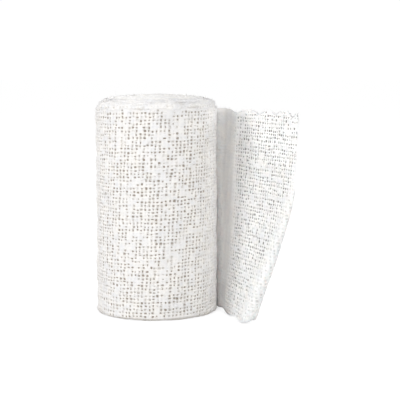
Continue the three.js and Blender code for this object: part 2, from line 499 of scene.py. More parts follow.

# Form of the holes: how size, depth and painted shade begin for a hole that is hardly open, and how its rim
# lies
HOLE = SimpleNamespace(
    least_size=0.55, filled_size=0.9, least_depth=0.55, least_darkness=0.20, floor=0.86,
    open_rim=-0.9, filled_rim=-0.3, rim_shade=0.16, filled_shade=0.15,
)


def fitted_rows(lines, low, high, least):
    """Row lines kept between the two cut edges: one past an edge is packed against it, a little apart."""
    order = np.arange(lines.shape[1])
    lines = np.maximum(lines, low[:, None] + least * order)
    return np.minimum(lines, high[:, None] - least * (len(order) - 1 - order))


def uneven_lattice(random, natural, low, high, uneven):
    """Heights of the lattice's corners, and how far each wanders along the cloth. Both are the sum of two
    blurred noises; the heights are fitted between the cut edges, and the column lines are drawn together in
    pairs."""
    for size, spread in zip(uneven.rows, ((4, 0.8), (1.0, 0.5))):
        natural = natural + size * blurred_noise(random, natural.shape, spread)
    corner_height = fitted_rows(natural, low, high, LEAST_ROW)
    wander = uneven.columns[0] * blurred_noise(random, natural.shape, (0.8, 5))
    wander += uneven.columns[1] * blurred_noise(random, natural.shape, (0.5, 1.2))
    paired = uneven.pairs * np.where(np.arange(len(natural)) % 2, 1.0, -1.0)[:, None]
    return corner_height, wander + paired


def openness_of(random, cloth, corner_height, share):
    """How open each hole is, nought to one: the sum of a noise cell by cell, of short runs along rows, of
    faint patches, and of two cosines that open columns in turns of two and of four, cut so that the given
    share is open. A cell that is pressed flat against an edge is filled."""
    tall = np.diff(halfway(corner_height, 0), axis=1)
    column = np.arange(len(tall))[:, None]
    score = CELL_WEIGHT * random.standard_normal(tall.shape)
    for weight, columns, rows in zip(*PATCHES.values()):
        score += weight * blurred_noise(random, tall.shape, (columns, rows))
    beat = blurred_noise(random, tall.shape, (8, 14))
    score += PAIR_WEIGHT * (1 + 0.25 * beat) * np.cos(np.pi * column)
    score += FOUR_WEIGHT * np.cos(np.pi / 2 * column + 0.3 * beat)
    cut = np.quantile(score, 1 - share)
    return smooth(0.5 + (score - cut) / OPENNESS_RAMP) * (tall > PRESSED * cloth.row_pitch)


def gauze_face(random, cloth, corner_along, corner_height, openness):
    """One face of the gauze as a lattice of cells. Each cell has eight points on its threads, of which the
    crossings stand out by the swell and those between them sag, and eight round its hole. An open hole sinks
    to four points at its depth, and a filled one to a single point just below."""
    columns, rows = openness.shape
    is_open = openness > OPEN_FROM
    swell = cloth.swell
    blocks = []

    def spread(size, *shape):
        """Even random numbers from minus the size to the size."""
        return size * random.uniform(-1, 1, shape)

    def block(along, height, lift, hole, clog):
        """Adds points by place, lift and masks, and gives their numbers."""
        start = sum(each[0].size for each in blocks)
        blocks.append([np.broadcast_to(value, along.shape) for value in (along, height, lift, hole, clog)])
        return start + np.arange(along.size).reshape(along.shape)

    def hole_dark_on_thread(most, beside):
        """How far the painted dark of the holes spreads onto a thread between open holes: mostly little, now
        and then more.
        """
        return most * beside * random.random(beside.shape) ** 2

    filled = np.pad(1 - openness, 1, mode="edge")
    near = (filled[1:, 1:] + filled[:-1, 1:] + filled[1:, :-1] + filled[:-1, :-1]) / 4
    lumps = UNEVEN.lumps * swell * blurred_noise(random, corner_height.shape, (1.1, 0.9))
    cell_lumps = halfway(halfway(lumps, 0), 1)
    crossing_lift = lumps + swell * (1 + spread(UNEVEN.crossing, columns + 1, rows + 1))
    crossing = block(corner_along, corner_height, crossing_lift, 0.0, near)
    sag = swell * UNEVEN.sag
    open_beside = np.pad(openness, 1, mode="edge")
    ahead_mid = block(
        halfway(corner_along, 0), halfway(corner_height, 0) + spread(sag, columns, rows + 1),
        halfway(lumps, 0) + sag * near[1:] + spread(sag, columns, rows + 1),
        hole_dark_on_thread(UNEVEN.dark_on_thread_ahead, halfway(open_beside[1:-1], 1)), near[1:],
    )
    above_mid = block(
        halfway(corner_along, 1) + spread(sag, columns + 1, rows), halfway(corner_height, 1),
        halfway(lumps, 1) + sag * near[:, 1:] + spread(sag, columns + 1, rows),
        hole_dark_on_thread(UNEVEN.dark_on_thread_above, halfway(open_beside[:, 1:-1], 0)), near[:, 1:],
    )

    wide = np.diff(halfway(corner_along, 1), axis=0) / 2
    tall = np.diff(halfway(corner_height, 0), axis=1) / 2
    scale = np.where(is_open, HOLE.least_size + (1 - HOLE.least_size) * openness, HOLE.filled_size)
    half_ahead = wide * cloth.hole_ahead * scale * (1 + spread(UNEVEN.size, columns, rows))
    half_above = tall * cloth.hole_above * scale * (1 + spread(UNEVEN.size, columns, rows))
    middle_along = halfway(halfway(corner_along, 0), 1) + wide * spread(UNEVEN.place, columns, rows)
    middle_height = halfway(halfway(corner_height, 0), 1) + tall * spread(UNEVEN.place, columns, rows)
    corner = random.uniform(*UNEVEN.corner, (columns, rows, 1))
    squareness = np.where((RING_AHEAD != 0) & (RING_ABOVE != 0), corner, 1.0)
    rough = 1 + spread(UNEVEN.rim, columns, rows, 8)
    ring_along = middle_along[..., None] + half_ahead[..., None] * RING_AHEAD * squareness * rough
    ring_height = middle_height[..., None] + half_above[..., None] * RING_ABOVE * squareness * rough
    ring_lift = np.where(is_open, HOLE.open_rim * swell, HOLE.filled_rim * swell) + cell_lumps
    ring_lift = ring_lift[..., None] + spread(UNEVEN.rim_lift * swell, columns, rows, 8)
    # Painted shade on the rim of an open hole, more for a more open one
    painted_rim_shade = np.where(is_open, HOLE.rim_shade * openness, 0.0)[..., None]
    ring = block(ring_along, ring_height, ring_lift, painted_rim_shade, (1 - openness)[..., None])

    deep = openness[is_open]
    count = len(deep)
    at_corner = np.array((1, 3, 5, 7))
    centre_along, centre_height = middle_along[is_open][:, None], middle_height[is_open][:, None]
    # An open hole's floor is painted dark, darker the more open it is; on the roll this is painted shade of
    # the layers beneath
    depth = cloth.pit * (HOLE.least_depth + (1 - HOLE.least_depth) * deep)
    darkness = HOLE.least_darkness + (1 - HOLE.least_darkness) * deep
    floor = block(
        centre_along + (ring_along[is_open][:, at_corner] - centre_along) * HOLE.floor,
        centre_height + (ring_height[is_open][:, at_corner] - centre_height) * HOLE.floor,
        (cell_lumps[is_open] - depth)[:, None] + spread(UNEVEN.depth * cloth.pit, count, 4),
        np.clip(darkness + spread(UNEVEN.darkness, count), 0, 1)[:, None],
        0.0,
    )
    # A filled hole's middle is painted darker by how far it sinks: painted shade in the dimple
    shallow = random.uniform(*UNEVEN.filling, openness.size - count)
    centre = block(
        middle_along[~is_open], middle_height[~is_open], cell_lumps[~is_open] - shallow * swell,
        HOLE.filled_shade * np.maximum(shallow, 0), 1.0,
    )

    values = [np.concatenate([each[number].ravel() for each in blocks]) for number in range(5)]
    quads, triangles = cell_faces(crossing, ahead_mid, above_mid, ring, floor, centre, is_open)

    def border(corners, mids):
        """Points of one edge of the face in order: corners and the points between them by turns."""
        joined = np.empty(len(corners) + len(mids), int)
        joined[0::2], joined[1::2] = corners, mids
        return joined

    return SimpleNamespace(
        along=values[0], height=values[1], lift=values[2], hole=values[3], clog=values[4],
        quads=quads, triangles=triangles,
        base=border(crossing[:, 0], ahead_mid[:, 0]), top=border(crossing[:, -1], ahead_mid[:, -1]),
        start=border(crossing[0], above_mid[0]), end=border(crossing[-1], above_mid[-1]),
    )


def cell_faces(crossing, ahead_mid, above_mid, ring, floor, centre, is_open):
    """Faces of the lattice: eight quads between each hole's rim and the threads, then a quad on the floor of
    an open hole with triangles up to its rim, or a fan of triangles on a filled one."""
    threads = (
        above_mid[1:], crossing[1:, 1:], ahead_mid[:, 1:], crossing[:-1, 1:],
        above_mid[:-1], crossing[:-1, :-1], ahead_mid[:, :-1], crossing[1:, :-1],
    )
    quads = []
    for here in range(8):
        after = (here + 1) % 8
        quad = np.stack([ring[..., here], threads[here], threads[after], ring[..., after]], axis=-1)
        quads.append(quad.reshape(-1, 4))
    quads.append(floor)
    triangles = []
    open_ring, filled_ring = ring[is_open], ring[~is_open]
    for corner in range(4):
        first = 2 * corner
        for here in (first, first + 1):
            rim = (open_ring[:, here], open_ring[:, (here + 1) % 8])
            triangles.append(np.stack([floor[:, corner], *rim], axis=-1))
        triangles.append(np.stack([floor[:, corner - 1], open_ring[:, first], floor[:, corner]], axis=-1))
    for here in range(8):
        triangles.append(np.stack([centre, filled_ring[:, here], filled_ring[:, (here + 1) % 8]], axis=-1))
    return np.concatenate(quads), np.concatenate(triangles)


def strip(first, second, flip=False):
    """Quads between two rows of as many points, from each pair of neighbours to the pair across."""
    quads = np.stack([first[:-1], first[1:], second[1:], second[:-1]], axis=-1)
    return quads[:, ::-1] if flip else quads


def fan(row, tip):
    """Triangles from each pair of neighbours in a row of points to one point."""
    return np.stack([row[:-1], row[1:], np.full(len(row) - 1, tip)], axis=-1)


def new_piece(name, points, quads, triangles, masks, weave, material):
    """Mesh object from whole arrays, with the masks as point attributes and the places on the cloth as a UV
    map. It rides on the bandage's one body."""
    mesh = bpy.data.meshes.new(name)
    corners = np.concatenate([quads.ravel(), triangles.ravel()]).astype(np.int32)
    fours = np.arange(len(quads)) * 4
    threes = len(quads) * 4 + np.arange(len(triangles)) * 3
    mesh.vertices.add(len(points))
    mesh.vertices.foreach_set("co", points.astype(np.float32).ravel())
    mesh.loops.add(len(corners))
    mesh.loops.foreach_set("vertex_index", corners)
    mesh.polygons.add(len(fours) + len(threes))
    mesh.polygons.foreach_set("loop_start", np.concatenate([fours, threes]).astype(np.int32))
    mesh.polygons.foreach_set("use_smooth", np.ones(len(fours) + len(threes), bool))
    for mask, values in masks.items():
        mesh.attributes.new(mask, "FLOAT", "POINT").data.foreach_set("value", values.astype(np.float32))
    layer = mesh.uv_layers.new(name="weave")
    layer.uv.foreach_set("vector", weave[corners].astype(np.float32).ravel())
    mesh.update(calc_edges=True)
    if mesh.validate():
        raise RuntimeError(f"the mesh of {name} had faces that don't hold")
    mesh.materials.append(material)
    piece = bpy.data.objects.new(name, mesh)
    bpy.context.scene.collection.objects.link(piece)
    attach(piece, BODY)
    return piece


def weave_of(cloth, roll, along, height):
    """Places on the cloth counted in columns and rows: the distances divided by the two pitches."""
    pitch = FULL_TURN * roll.radius / cloth.columns
    return np.stack([along / pitch, height / cloth.row_pitch], axis=-1)


# The materials

# Scales of the noises on the gauze, for each metre
GRAIN_SCALE = 2600.0
LUMP_SCALE = 900.0
MOTTLE_SCALE = 620.0
DUST_SCALE = 420.0
DRIFT_SCALE = 230.0

BUMP_STRENGTH = 0.8
BUMP_DISTANCE = 0.00018
GLOSS = 0.25
LIGHT_DEPTH = 0.0014
LIGHT_SPREAD = (1.18, 1.0, 0.96)


class Nodes:
    """Adds nodes to a tree and joins them, so that a material reads as its formula."""

    def __init__(self, tree):
        """Keeps the tree."""
        self.tree = tree

    def add(self, kind, **values):
        """A node of a kind; a value is set on the socket or the setting of that name."""
        node = self.tree.nodes.new("ShaderNode" + kind)
        for name, value in values.items():
            if hasattr(node, name):
                setattr(node, name, value)
            else:
                self.put(value, node.inputs[name.replace("_", " ").capitalize()])
        return node

    def put(self, value, socket):
        """Joins an output to a socket, or sets the socket's own value."""
        if isinstance(value, bpy.types.NodeSocket):
            self.tree.links.new(value, socket)
        else:
            socket.default_value = value

    def maths(self, operation, *values):
        """A sum, product or other operation of numbers."""
        node = self.tree.nodes.new("ShaderNodeMath")
        node.operation = operation
        for value, socket in zip(values, node.inputs):
            self.put(value, socket)
        return node.outputs[0]

    def blend(self, share, first, second, kind="MIX"):
        """A colour between two colours, or the first by the second."""
        node = self.tree.nodes.new("ShaderNodeMix")
        node.data_type = "RGBA"
        node.blend_type = kind
        self.put(share, node.inputs[0])
        self.put(first, node.inputs[6])
        self.put(second, node.inputs[7])
        return node.outputs[2]

    def noise(self, place, scale, detail=2.0):
        """Soft noise about a half, by place."""
        node = self.add("TexNoise", Vector=place, Scale=scale, Detail=detail)
        return node.outputs[0]

    def mapped(self, value, low, high, to_low, to_high):
        """A value's range mapped to another and held within it."""
        node = self.tree.nodes.new("ShaderNodeMapRange")
        for number, setting in enumerate((value, low, high, to_low, to_high)):
            self.put(setting, node.inputs[number])
        return node.outputs[0]


def gauze_group():
    """Finish that every piece of gauze shares. Its colour is thread, blended into plaster by the mask of
    clogged holes and into the holes' dark colour by the mask of the dark, which is mostly painted shade,
    with warm and cool drifts, specks and a mottle. Its relief is the sum of twisted yarn, which plaster
    hides, of lumps and of grains."""
    name = "plaster gauze finish"
    if name in bpy.data.node_groups:
        return bpy.data.node_groups[name]
    tree = bpy.data.node_groups.new(name, "ShaderNodeTree")
    for title in ("Thread", "Plaster", "Hole"):
        tree.interface.new_socket(name=title, in_out="INPUT", socket_type="NodeSocketColor")
    for title, kind in (("Colour", "Color"), ("Roughness", "Float"), ("Relief", "Float")):
        tree.interface.new_socket(name=title, in_out="OUTPUT", socket_type="NodeSocket" + kind)
    n = Nodes(tree)
    given = tree.nodes.new("NodeGroupInput").outputs
    result = tree.nodes.new("NodeGroupOutput").inputs
    place = n.add("TexCoord").outputs["Object"]
    weave = n.add("SeparateXYZ", Vector=n.add("UVMap", uv_map="weave").outputs[0]).outputs
    hole = n.add("Attribute", attribute_name="hole").outputs["Fac"]
    clog = n.add("Attribute", attribute_name="clog").outputs["Fac"]

    grains = n.noise(place, GRAIN_SCALE)
    lumps = n.noise(place, LUMP_SCALE, 3.0)
    drift = n.noise(place, DRIFT_SCALE)
    dust = n.mapped(n.noise(place, DUST_SCALE, 4.0), 0.35, 0.65, 0.55, 1.0)

    cool, warm = (0.940, 0.950, 0.965, 1), (1.0, 0.995, 0.980, 1)
    cover = n.maths("MULTIPLY", clog, dust)
    body = n.blend(cover, given["Thread"], given["Plaster"])
    tint = n.blend(n.mapped(drift, 0.35, 0.65, 0.0, 1.0), cool, warm)
    tinted = n.blend(1.0, body, tint, "MULTIPLY")
    speck = n.mapped(grains, 0.30, 0.50, 0.06, 0.0)
    specked = n.blend(speck, tinted, given["Hole"])
    mottle = n.mapped(n.noise(place, MOTTLE_SCALE, 3.0), 0.50, 0.66, 0.0, 0.15)
    dark = n.maths("MULTIPLY", hole, n.mapped(lumps, 0.3, 0.7, 0.82, 1.0))
    n.put(n.blend(n.maths("MAXIMUM", dark, mottle), specked, given["Hole"]), result["Colour"])
    n.put(n.mapped(n.maths("ADD", grains, cover), 0.4, 1.6, 0.97, 0.84), result["Roughness"])

    def ridges(along, across, along_count, across_count):
        """Slanting ridges: the sine of so many turns a cell each way."""
        along_turns = n.maths("MULTIPLY", along, along_count)
        phase = n.maths("ADD", along_turns, n.maths("MULTIPLY", across, across_count))
        return n.maths("SINE", n.maths("MULTIPLY", phase, FULL_TURN))

    to_row = n.maths("PINGPONG", weave[1], 0.5)
    on_row = n.mapped(to_row, 0.22, 0.30, 1.0, 0.0)
    off_row = n.maths("SUBTRACT", 1.0, on_row)
    yarn_ahead = n.maths("MULTIPLY", ridges(weave[0], weave[1], 5.0, 3.0), on_row)
    yarn_above = n.maths("MULTIPLY", ridges(weave[1], weave[0], 5.0, -3.0), off_row)
    bare = n.maths("SUBTRACT", 1.0, n.maths("MULTIPLY", cover, 0.8))
    yarn = n.maths("MULTIPLY", n.maths("ADD", yarn_ahead, yarn_above), bare)
    relief = n.maths("ADD", n.maths("MULTIPLY", yarn, 0.16), n.maths("MULTIPLY", lumps, 0.9))
    n.put(n.maths("ADD", relief, n.maths("MULTIPLY", grains, 0.5)), result["Relief"])
    return tree


def gauze_material(name, cloth, thread_colour, hole_colour, lit_through=0.0):
    """Plaster gauze: the shared finish on a dry, rough surface, which a share of the light may pass
    through."""
    if name in bpy.data.materials:
        return bpy.data.materials[name]
    material = bpy.data.materials.new(name)
    material.use_nodes = True
    material.node_tree.nodes.clear()
    n = Nodes(material.node_tree)
    finish = n.add("Group", node_tree=gauze_group())
    n.put((*thread_colour, 1), finish.inputs["Thread"])
    n.put((*cloth.plaster_colour, 1), finish.inputs["Plaster"])
    n.put((*hole_colour, 1), finish.inputs["Hole"])
    bump = n.add("Bump", Strength=BUMP_STRENGTH, Distance=BUMP_DISTANCE, Height=finish.outputs["Relief"])
    shader = n.add("BsdfPrincipled")
    settings = {
        "Base Color": finish.outputs["Colour"],
        "Roughness": finish.outputs["Roughness"],
        "Normal": bump.outputs[0],
        "Specular IOR Level": GLOSS,
        "Subsurface Weight": lit_through,
        "Subsurface Radius": LIGHT_SPREAD,
        "Subsurface Scale": LIGHT_DEPTH,
    }
    for title, value in settings.items():
        n.put(value, shader.inputs[title])
    n.put(shader.outputs[0], n.add("OutputMaterial").inputs["Surface"])
    return material


# The wound pieces of gauze

FIRST_ROW = 0.0003
OUTER_LINES = 64
LINES_BELOW_FOOT = 3
SHOULDER_COLUMNS = 91
SHOULDER_ROWS = 4.3
SHOULDER_LINES = 6
FIRST_SHOULDER_LINE = -0.3
WOUND_UNEVEN = SimpleNamespace(rows=(0.00010, 0.00010), columns=(0.00013, 0.00010), pairs=0.00007)

# Masks of the wound gauze: places and lengths along the outer turn are shares of a turn, heights in metres
FOOT_FROM = 0.0002
FOOT_FADE = 0.0012
# The painted shade at the foot is lifted round the left corner, where the left light falls: painted light
FOOT_SHADE_LIT_LEFT = SimpleNamespace(at=0.30, width=0.07, share=0.75)
NOOK = SimpleNamespace(start=0.672, fade=0.05, less_dark=0.3, less_clogged=0.7)
# The darker tone ends before the strip beside the loose end, which stays lighter as painted light
PAINTED_LIGHT_FROM = 0.69
PAINTED_LIGHT_FADE = 0.03


def crown_height(inset):
    """Height of the turns' upper edges without their lobes: straight between the heights of the crown's
    table, by how far they lie inside the outer radius."""
    return np.interp(inset, CROWN["inset"], CROWN["height"])


def wound_masks(random, face, wound, settings):
    """Masks of the wound gauze. The dark is the most of the holes' painted dark, of loose specks and of a
    painted shade at the foot, lifted at the left corner as painted light, under an even darker tone that
    ends at the right, where the strip left lighter is painted light. Beside the loose end the holes are
    paler and less clogged."""
    painted_foot_shade = settings.foot_shade * (1 - smooth((face.height - FOOT_FROM) / FOOT_FADE))
    painted_foot_shade = painted_foot_shade * (1 - FOOT_SHADE_LIT_LEFT.share * bell(wound - FOOT_SHADE_LIT_LEFT.at, FOOT_SHADE_LIT_LEFT.width))
    in_nook = smooth((wound - NOOK.start) / NOOK.fade) * (wound < 1)
    speckle = settings.speckle * random.random(len(wound)) ** 3
    veil = settings.veil * (1 - smooth((wound - PAINTED_LIGHT_FROM) / PAINTED_LIGHT_FADE))
    marks = face.hole * settings.marks * (1 - NOOK.less_dark * in_nook)
    hole = np.maximum(np.maximum(marks, speckle), painted_foot_shade)
    return veil + (1 - veil) * hole, face.clog * (1 - NOOK.less_clogged * in_nook)


def closed_side(side, inner_base, inner_top, foot, crest):
    """Triangles from a side edge of the gauze to the four rim points beside it: the lower half of the edge
    fans out from the inner base, and the upper half from the inner top."""
    half = len(side) // 2
    ends = [
        (side[0], inner_base, foot), (side[-1], crest, inner_top), (side[half], inner_top, inner_base),
    ]
    return np.concatenate([fan(side[:half + 1], inner_base), fan(side[half:], inner_top), ends])


def wound_gauze(name, cloth, roll, random, wound_lines, low, high, natural, settings):
    """A stretch of the wound cloth as a closed shell: a face of gauze outside, rims folded in at its edges
    and a plain wall inside. The row lines are fitted between the cut edges. The column lines lean about the
    middle of the height, and wander, but are upright at both ends."""
    length = FULL_TURN * roll.radius
    wander_over, lean_over, edge_drop = 0.02, 0.12, 0.0022
    from_start, to_end = wound_lines - wound_lines[0], wound_lines[-1] - wound_lines
    ends = smooth(from_start / wander_over) * smooth(to_end / wander_over)
    lean_ends = smooth(from_start / lean_over) * smooth(to_end / lean_over)
    corner_height, wander = uneven_lattice(random, natural, low, high, WOUND_UNEVEN)
    lean = settings.lean * lean_ends[:, None] * (corner_height - roll.top / 2)
    corner_wound = wound_lines[:, None] + (lean + wander * ends[:, None]) / length

    openness = openness_of(random, cloth, corner_height, settings.open_share) * settings.seen[:, None]
    face = gauze_face(random, cloth, -corner_wound * length, corner_height, openness)
    wound = -face.along / length
    base, top = face.base, face.top
    bend = settings.bend * smooth((face.height - crown_height(0.0) + edge_drop) / edge_drop)
    outside = roll_points(roll, wound, face.height, face.lift - bend)

    def rim(row, rise, sink):
        """A rim along an edge, a little above or below it and sunk into the roll."""
        return roll_points(roll, wound[row], face.height[row] + rise, -sink - bend[row])

    thin, thick, rise = settings.thickness * 0.5, settings.thickness, 0.0001
    rims = [rim(top, rise, thin), rim(top, -rise, thick), rim(base, 0.0, thin), rim(base, rise, thick)]
    points = np.concatenate([outside, *rims])
    count, wall = len(outside), len(base)
    crest, inner_top, foot, inner_base = (count + wall * number + np.arange(wall) for number in range(4))
    quads = [
        face.quads[:, ::-1],
        strip(top, crest, flip=True), strip(crest, inner_top, flip=True),
        strip(base, foot), strip(foot, inner_base),
        strip(inner_base, inner_top),
    ]
    first, last = (
        closed_side(side, inner_base[at], inner_top[at], foot[at], crest[at])
        for side, at in ((face.start, 0), (face.end, -1))
    )
    triangles = np.concatenate([face.triangles[:, ::-1], first[:, ::-1], last])

    hole, clog = wound_masks(random, face, wound, settings)
    # Rims at the top stay bright; rims at the base take the painted shade at the foot
    hole = np.concatenate([hole, np.zeros(2 * wall), np.full(2 * wall, settings.foot_shade)])
    clog = np.concatenate([clog, np.full(4 * wall, 0.5)])
    rows_of = (top, top, base, base)
    along = np.concatenate([face.along] + [face.along[row] for row in rows_of])
    height = np.concatenate([face.height] + [face.height[row] for row in rows_of])
    material = gauze_material("plaster_gauze_roll", cloth, cloth.wound_thread_colour, cloth.roll_hole_colour)
    masks, weave = {"hole": hole, "clog": clog}, weave_of(cloth, roll, along, height)
    new_piece(name, points, np.concatenate(quads), triangles, masks, weave, material)


def build_outer_turn(scene):
    """The outer turn of the cloth, over its whole height: rows at an even pitch that rise round the roll,
    between a foot and a top edge that are cut in shallow lobes and a little ragged."""
    cloth, roll = scene.bandage_cloth, scene.bandage_roll
    random = np.random.default_rng(cloth.seed)
    columns = cloth.columns
    ragged_low, ragged_high = 0.00015, 0.00025
    wound = np.arange(columns + 1) / columns
    along = cloth_distance(roll, wound)
    notch = 1 - lobe(along)
    top = roll.top - roll.top_rise * along
    low = ROLL_NOTCH_BASE * notch + random.uniform(0, ragged_low, columns + 1)
    high = top - ROLL_NOTCH_TOP * notch + random.uniform(-ragged_high, ragged_high, columns + 1)
    number = np.arange(OUTER_LINES) - LINES_BELOW_FOOT
    natural = FIRST_ROW + number * cloth.row_pitch - cloth.row_rise * along[:, None]
    settings = SimpleNamespace(
        lean=math.tan(cloth.column_lean), open_share=cloth.open_share, thickness=0.00056, bend=0.00012,
        seen=(np.arange(columns) + 0.5) / columns < 1 - roll.covered / FULL_TURN,
        foot_shade=0.8, marks=1.0, speckle=0.0, veil=0.112,
    )
    wound_gauze("gauze_outer_turn", cloth, roll, random, wound, low, high, natural, settings)


def build_shoulder_turns(scene):
    """The next turns' upper edges, which stand in steps above the outer turn's: a few rows of cloth below
    the crown's height, which is uneven, lobed and ragged."""
    cloth, roll = scene.bandage_cloth, scene.bandage_roll
    random = np.random.default_rng(cloth.seed + 4)
    columns = SHOULDER_COLUMNS * roll.shoulder_turns
    below_crown, lobe_share, uneven_size, ragged_size = 0.0005, 0.5, 0.00024, 0.0002
    wound = 1 + np.arange(columns + 1) / SHOULDER_COLUMNS
    along = cloth_distance(roll, wound)
    crown = crown_height(roll.radius - turn_radius(roll, wound))
    uneven = uneven_size * blurred_noise(random, (columns + 1, 1), (2.2, 1))[:, 0]
    ragged = random.uniform(-ragged_size, ragged_size, columns + 1)
    high = crown - below_crown + uneven - lobe_share * ROLL_NOTCH_TOP * (1 - lobe(along)) + ragged
    low = crown - SHOULDER_ROWS * cloth.row_pitch
    natural = low[:, None] + (np.arange(SHOULDER_LINES) + FIRST_SHOULDER_LINE) * cloth.row_pitch
    settings = SimpleNamespace(
        lean=0.0, open_share=0.6, thickness=0.00040, bend=0.00008, seen=np.ones(columns, bool),
        foot_shade=0.0, marks=0.62, speckle=0.22, veil=0.0,
    )
    wound_gauze("gauze_shoulder_turns", cloth, roll, random, wound, low, high, natural, settings)


# The loose end

LOOSE_ROWS = 61
LOOSE_UNEVEN = SimpleNamespace(rows=(0.00010, 0.00014), columns=(0.00010, 0.00010), pairs=0.00006)
LOOSE_MORE_OPEN = 0.06

# Where the sheet is calm: along the fold, and at the foot beyond the roll
CALM_FOLD = SimpleNamespace(before=0.0065, fade=0.005)
CALM_FOOT = SimpleNamespace(share=0.35, height=0.018, fade=0.012, along=0.050, along_fade=0.02)
CALM_HOLES = 0.65
CALM_RELIEF = 0.6

# The root: its end, which comes back with the height, and what it takes from relief, holes and clogging, the
# last as painted light in its shade; then its ribs with painted shade between them, the band of painted
# shade beside the roll, and the painted shade at the foot
ROOT = SimpleNamespace(
    end=0.045, back=0.004, back_from=0.05, back_over=0.045, fade=0.010, relief=0.8, holes=0.93, clogged=0.85,
)
RIBS = SimpleNamespace(pitch=0.0041, sway=1.5, sway_wave=55, lift=0.00012, dark=0.05)
SHADE = SimpleNamespace(start=0.0410, start_back=0.0085, end=0.0480, end_back=0.0055, fade=0.005)
SHADE_DARK = 0.19
SHADE_DARKER = 0.06
SHADE_HEIGHT = 0.015
SHADE_OVER = 0.06
LOOSE_FOOT_SHADE = SimpleNamespace(start=0.0001, fade=0.0008, end=0.052, end_fade=0.01, dark=0.75)

# How the sheet thins towards its edges, and how deep the holes go at most, as a share of its half thickness
TAPER = SimpleNamespace(least=0.30, over=0.0025)
DEEPEST = 0.72


def calm_share(loose, face):
    """How far the relief is flattened and the holes are paler: wholly past the fold line, and in part at the
    foot."""
    past_fold = beyond_fold(loose, face.along, face.height)
    near_fold = smooth((past_fold + CALM_FOLD.before) / CALM_FOLD.fade)
    near_foot = CALM_FOOT.share * smooth((CALM_FOOT.height - face.height) / CALM_FOOT.fade)
    near_foot = near_foot * smooth((face.along - CALM_FOOT.along) / CALM_FOOT.along_fade)
    return np.maximum(near_fold, near_foot)


def root_share(face):
    """How far the root's changes hold: one up to the root's end and then falling to nought."""
    root_end = ROOT.end - ROOT.back * smooth((face.height - ROOT.back_from) / ROOT.back_over)
    return 1 - smooth((face.along - root_end) / ROOT.fade)


def root_ribs(face):
    """Faint upright ribs at the root: a sine along the cloth that sways with the height."""
    sway = RIBS.sway * np.sin(face.height * RIBS.sway_wave)
    return 0.5 + 0.5 * np.sin(face.along * FULL_TURN / RIBS.pitch + sway)


def root_shade(face):
    """Band of even shade beside the roll, which comes back and darkens with the height."""
    higher = smooth((face.height - SHADE_HEIGHT) / SHADE_OVER)
    start, end = SHADE.start - SHADE.start_back * higher, SHADE.end - SHADE.end_back * higher
    band = smooth((face.along - start) / SHADE.fade) * (1 - smooth((face.along - end) / SHADE.fade))
    return band * (SHADE_DARK + SHADE_DARKER * higher)


